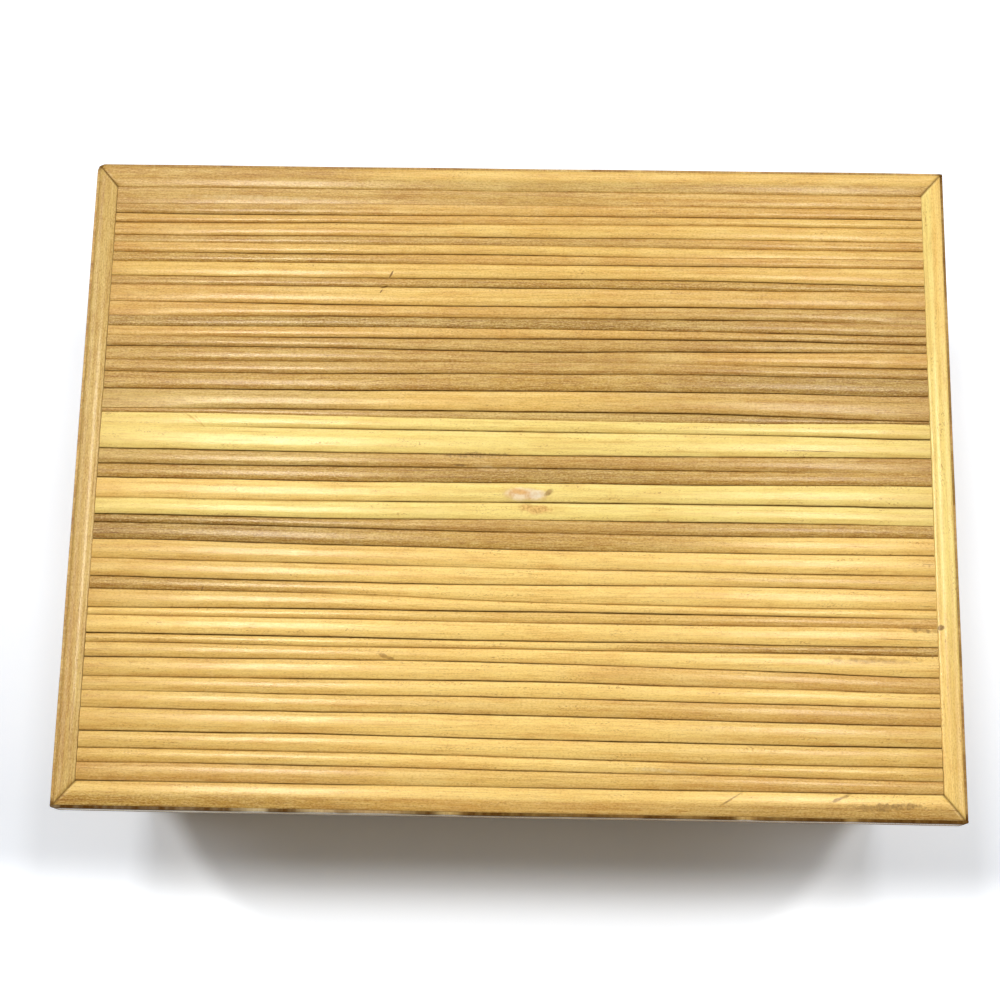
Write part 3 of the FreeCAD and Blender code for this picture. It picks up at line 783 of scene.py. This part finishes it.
def rolled_brass(name):
    """Rolled brass gone dull with age. The eye gets a warm yellow metal with cloudy brown
    tarnish and fine scratches along its length."""
    material, tree = blank_material(name)
    position = add(tree, "ShaderNodeTexCoord", out="Object")
    patterns = cell_patterns(tree, position, {
        "tarnish": ([4 * MM] * 3, 4.0, 0.0),
        "scratches": ((9 * MM, 0.2 * MM, 0.2 * MM), 2.0, 0.0),
    })
    colour = layered(tree, rgba("#cfaa60"), patterns, [
        ("tarnish", 0.42, 0.68, 0.9, "#8a6a37", "MIX", False)])
    rough = add(tree, "ShaderNodeMapRange", {
        "Value": patterns["tarnish"], "From Min": 0.35, "From Max": 0.7, "To Min": 0.26,
        "To Max": 0.46})
    bump = add(tree, "ShaderNodeBump", {
        "Height": patterns["scratches"], "Strength": 0.3, "Distance": 0.02 * MM})
    shader = add(tree, "ShaderNodeBsdfPrincipled", {
        "Base Color": colour, "Roughness": rough, "Normal": bump, "Metallic": 1.0})
    add(tree, "ShaderNodeOutputMaterial", {"Surface": shader})
    return material


cane = split_cane("lacquered_split_cane")
lid_cane = split_cane("lacquered_split_cane_worn", LID_MARKS)
FINISHES = [
    (bare_board("sanded_softwood_along_x", 0, "#dfbf8e"), ["front_wall", "back_wall"]),
    (bare_board("sanded_softwood_along_y", 1, "#dfbf8e"), ["left_wall", "right_wall"]),
    (bare_board("sanded_birch_plywood", 0, "#e2c79c"), ["base_board", "lid_board"]),
    (rolled_brass("rolled_brass_dulled"), [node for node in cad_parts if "hinge" in node]),
]
for material, nodes in FINISHES:
    for node in nodes:
        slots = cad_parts[node].data.materials
        slots.clear()
        slots.append(material)


# The lid's cane face

rng = np.random.default_rng(SEED)
top_face = Face((0, 0, board_high.z), (1, 0, 0), (0, 1, 0), (0, 0, 1))
field_half_u = -left_border_high.x
slat_face("lid_slat_cane", top_face, rng, field_half_u, back_border_low.y, front_border_high.y,
          LID_RIBS, FIRST_LINE_DARK, LID_STEP, lid_cane, "lid", "lid_slat_%02d")

half_u, half_v = board_high.x, board_high.y
back_width, front_width = half_v - back_border_low.y, front_border_high.y + half_v
side_width = half_u - field_half_u
side_inner = half_v - (back_width + front_width) / 2
BORDERS = {
    # name: (v or u of the outer side, width, inward, half outer, half inner, tones of the outer
    #        and inner side, turned, dirt on the inner line)
    "back": (half_v, back_width, -1, half_u, field_half_u, ("tgg", "tet"), False, (0.22, 0.25)),
    # The front border's tones are the cane's colour with painted shade on its outer, front half
    # and painted light on its inner half.
    "front": (-half_v, front_width, 1, half_u, field_half_u, ("bht", "gyy"), False, (0.60, 0.30)),
    "left": (-half_u, side_width, 1, half_v, side_inner, ("tee", "eee"), True, (0.95, 0.45)),
    "right": (half_u, side_width, -1, half_v, side_inner, ("gsy", "yss"), True, (0.60, 0.35)),
}
thick = strip_high.y - strip_low.y
for number, (side, layout) in enumerate(BORDERS.items()):
    outer, width, inward, half_outer, half_inner, tones, turned, inner_line = layout
    rings, facts = border_strip(rng, top_face, half_outer, half_inner, outer, width, inward,
                                tones, LID_BORDER_STEP, number, turned, inner_line)
    swept("lid_border_cane_" + side, with_round_corners(rings, thick), facts, lid_cane, "lid",
          ["lid_border_" + side])

EDGES = {
    # name: (distance from the middle, half length, tones, rim soil, painted shade at the foot)
    "front": (half_v, strip_high.x, "pet", 0.9, 0.7),
    "back": (half_v, strip_high.x, "ttt", 0.25, 0.3),
    "left": (half_u, half_v, "ttt", 0.0, 0.3),
    "right": (half_u, half_v, "ttt", 0.45, 0.3),
}
for number, (side, (away, half_length, *looks)) in enumerate(EDGES.items()):
    rings, facts = edge_strip(rng, upright_face(side, away, strip_low.z), half_length,
                              strip_high.z - strip_low.z, thick, LID_EDGE_STEP, number, *looks)
    swept("lid_edge_cane_" + side, with_round_corners(rings, 0.0), facts, cane, "lid",
          ["lid_edge_" + side])


# The sides of the box

def side_ribs(turn, rng, top, bottom):
    """The side's slats, beginning with another one on each side: the ribs' front lines share
    out the height in proportion to the widths, with chance drift and darkness along them."""
    start = turn * SLATS_TURNED
    order = SIDE_SLATS[start:] + SIDE_SLATS[:start]
    widths = np.array([width for slat in order for width in slat[:2]])
    places = top - np.cumsum(widths) * (top - bottom) / widths.sum()
    ribs = []
    for place, tone in zip(places, "".join(slat[2] for slat in order)):
        drift = rng.uniform(-SIDE_LINE_DRIFT, SIDE_LINE_DRIFT, len(STATIONS))
        darks = rng.integers(*SIDE_DARKS) + rng.integers(*SIDE_DARK_CHANGES, len(STATIONS))
        darks = "".join(str(digit) for digit in np.clip(darks, 0, DARKEST))
        ribs.append((tone * 3, place + drift, darks))
    return [ribs[k:k + 2] for k in range(0, len(ribs), 2)]


def box_between(low, high):
    """A box between its low and high corners, to cut with."""
    corners = [[(low, high)[k >> axis & 1][axis] * MM for axis in range(3)] for k in range(8)]
    faces = [(0, 2, 3, 1), (4, 5, 7, 6), (0, 1, 5, 4), (2, 6, 7, 3), (0, 4, 6, 2), (1, 3, 7, 5)]
    mesh = bpy.data.meshes.new("pocket_room")
    mesh.from_pydata(corners, [], faces)
    room = bpy.data.objects.new("pocket_room", mesh)
    bpy.context.scene.collection.objects.link(room)
    return room


def cut_pocket(piece, pin):
    """Takes the room round one hinge out of a piece of the back's cane."""
    low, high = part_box(pin)
    room = box_between(
        (low.x / MM - POCKET_ROOM, wall_high.y, POCKET_FOOT),
        (high.x / MM + POCKET_ROOM, wall_high.y + POCKET_DEPTH, POCKET_TOP))
    cut = piece.modifiers.new("pocket", "BOOLEAN")
    cut.object = room
    cut.operation = "DIFFERENCE"
    cut.solver = "EXACT"
    with bpy.context.temp_override(object=piece, active_object=piece):
        bpy.ops.object.modifier_apply(modifier=cut.name)
    bpy.data.objects.remove(room)


clad_middle = (clad_high.z + clad_low.z) / 2
half_height = (clad_high.z - clad_low.z) / 2
inner_v = half_height - SIDE_BORDER
SIDES = {
    # name: (distance from the middle, half length)
    "front": (-wall_low.y, clad_high.x),
    "back": (wall_high.y, clad_high.x),
    "left": (-wall_low.x, wall_high.y),
    "right": (wall_high.x, wall_high.y),
}
for turn, (side, (away, half_length)) in enumerate(SIDES.items()):
    face = upright_face(side, away, clad_middle)
    inner_u = half_length - SIDE_BORDER
    layout = [
        (half_height, -1, half_length, inner_u, False),
        (-half_height, 1, half_length, inner_u, False),
        (-half_length, 1, half_height, inner_v, True),
        (half_length, -1, half_height, inner_v, True),
    ]
    strips = []
    for number, (outer, inward, half_outer, half_inner, turned) in enumerate(layout):
        rings, facts = border_strip(rng, face, half_outer, half_inner, outer, SIDE_BORDER, inward,
                                    SIDE_BORDER_TONES, SIDE_BORDER_STEP,
                                    FIRST_SIDE_STRIP + turn * len(layout) + number, turned)
        strips.append(swept("%s_border_strip_%d" % (side, number), rings, facts, cane, "box"))
    slats = slat_face(side + "_slat", face, rng, inner_u, inner_v, -inner_v,
                      side_ribs(turn, rng, inner_v, -inner_v), SIDE_FIRST_DARK, SIDE_STEP, cane,
                      "box")
    if side == "back":
        for piece in (strips[0], slats[0]):
            for pin in ("left_hinge_pin", "right_hinge_pin"):
                cut_pocket(piece, pin)
    joined(side + "_border_cane", strips, side + "_border")
    joined(side + "_slats_cane", slats, side + "_slats")


# Floor, lights and camera

def white_to_the_eye(tree):
    """1 for rays from the camera, in mirrors and through glass, and 0 for light on the object."""
    path = add(tree, "ShaderNodeLightPath").node
    seen = path.outputs["Is Camera Ray"]
    for ray in ("Is Glossy Ray", "Is Transmission Ray"):
        seen = add(tree, "ShaderNodeMath", {0: seen, 1: path.outputs[ray]}, operation="MAXIMUM")
    return seen


# The floor, in metres: the oval round the box past which painted light makes it lighter to the
# camera, and half its side
FLOOR_MIDDLE, FLOOR_OVAL = (0.0, -0.06, 0.0), (0.129, 0.11, 1.0)
FLOOR_HALF = 3.0


def white_paper(name):
    """Matt white paper with painted light that the camera and mirrors see on it: lighter past an
    oval round the box, more so further back, and well in front of the box, which sets the edges of
    the box's shadow."""
    material, tree = blank_material(name)
    position = add(tree, "ShaderNodeTexCoord", out="Object")
    oval = add(tree, "ShaderNodeMapping", {
        "Vector": position, "Location": FLOOR_MIDDLE, "Scale": FLOOR_OVAL},
        vector_type="TEXTURE")
    away = add(tree, "ShaderNodeVectorMath", {0: oval}, "Value", operation="LENGTH")
    depth = add(tree, "ShaderNodeSeparateXYZ", {0: position}, "Y")
    past_oval = add(tree, "ShaderNodeMapRange", {
        "Value": away, "From Min": 1.06, "From Max": 1.15, "To Min": 0.035, "To Max": 0.35},
        interpolation_type="SMOOTHSTEP")
    further_back = add(tree, "ShaderNodeMapRange", {
        "Value": depth, "From Min": -0.125, "From Max": -0.02, "To Min": 0.62})
    in_front = add(tree, "ShaderNodeMapRange", {
        "Value": depth, "From Min": -0.121, "From Max": -0.150, "To Max": 0.6},
        interpolation_type="SMOOTHSTEP")
    # Painted light on the floor, for camera and mirror rays only.
    painted_floor_light = add(tree, "ShaderNodeMath", {0: past_oval, 1: further_back, 2: in_front},
               operation="MULTIPLY_ADD")
    painted_floor_light = add(tree, "ShaderNodeMath", {0: white_to_the_eye(tree), 1: painted_floor_light},
               operation="MULTIPLY")
    shader = add(tree, "ShaderNodeBsdfPrincipled", {
        "Base Color": rgba("#eef3fb"), "Roughness": 0.9, "Specular IOR Level": 0.1,
        "Emission Color": (0.97, 0.985, 1.0, 1.0), "Emission Strength": painted_floor_light})
    add(tree, "ShaderNodeOutputMaterial", {"Surface": shader})
    return material


floor_mesh = bpy.data.meshes.new("floor")
floor_mesh.from_pydata([(x * FLOOR_HALF, y * FLOOR_HALF, 0)
                        for x, y in ((-1, -1), (1, -1), (1, 1), (-1, 1))], [], [(0, 1, 2, 3)])
floor_mesh.materials.append(white_paper("matt_white_paper"))
floor = bpy.data.objects.new("floor", floor_mesh)
bpy.context.scene.collection.objects.link(floor)


def placed(place, right, up, back):
    """The matrix of a camera or lamp at a place, with its own three directions."""
    turn = Matrix((right, up, back)).transposed()
    return Matrix.Translation(place) @ turn.to_4x4()


# The camera, in metres, with its focal length in pixels of a frame 1000 pixels wide
CAMERA_PLACE = Vector((0.0069, -0.1678, 0.7477))
CAMERA_AIM = Vector((-0.0044, -0.0078, 0.1112))
CAMERA_ROLL = math.radians(1.098)
FOCAL_PIXELS, FRAME_PIXELS = 1900.0, 1000.0
SENSOR = 36.0

camera_data = bpy.data.cameras.new("camera")
camera_data.sensor_width = SENSOR
camera_data.lens = FOCAL_PIXELS / FRAME_PIXELS * SENSOR
camera = bpy.data.objects.new("camera", camera_data)
bpy.context.scene.collection.objects.link(camera)
forward = (CAMERA_AIM - CAMERA_PLACE).normalized()
level = forward.cross(Vector((0, 1, 0))).normalized()
upright = level.cross(forward)
camera.matrix_world = placed(
    CAMERA_PLACE, math.cos(CAMERA_ROLL) * level + math.sin(CAMERA_ROLL) * upright,
    math.cos(CAMERA_ROLL) * upright - math.sin(CAMERA_ROLL) * level, -forward)
bpy.context.scene.camera = camera

# Each lamp: place, size in metres along X and then Y, and its share of the light on the lid's
# middle, where a share of 1 makes a matt colour render as it is written
LAMPS = {
    "left_strip": ((-0.295, 0.33, 1.6), (0.16, 0.40), 0.24),
    "right_strip": ((0.325, 0.33, 1.6), (0.14, 0.40), 0.15),
    "left_side": ((-0.95, 0.40, 1.5), (0.40, 0.80), 0.16),
    "right_side": ((1.10, 0.20, 1.5), (0.60, 0.90), 0.21),
    "back_panel": ((0.0, 1.25, 1.6), (1.40, 0.60), 0.18),
}
LID_MIDDLE = Vector((0, 0, board_high.z * MM))
for name, (place, size, share) in LAMPS.items():
    data = bpy.data.lights.new(name, "AREA")
    data.shape = "RECTANGLE"
    data.size, data.size_y = size
    ray = LID_MIDDLE - Vector(place)
    data.energy = share * math.pi ** 2 * ray.length ** 3 / -ray.z
    behind = -ray.normalized()
    across = Vector((0, 1, 0)).cross(behind).normalized()
    light = bpy.data.objects.new(name, data)
    light.matrix_world = placed(place, across, behind.cross(across), behind)
    bpy.context.scene.collection.objects.link(light)

# The world lights evenly at a low level, and is white to the camera and in mirrors
WORLD_LIGHT = 0.10
world = bpy.data.worlds.new("studio")
bpy.context.scene.world = world
world.use_nodes = True
world.node_tree.nodes.clear()
strength = add(world.node_tree, "ShaderNodeMapRange", {
    "Value": white_to_the_eye(world.node_tree), "To Min": WORLD_LIGHT, "To Max": 1.0})
background = add(world.node_tree, "ShaderNodeBackground", {
    "Color": (1.0, 1.0, 1.0, 1.0), "Strength": strength})
add(world.node_tree, "ShaderNodeOutputWorld", {"Surface": background})

bpy.context.scene.view_settings.view_transform = "Standard"
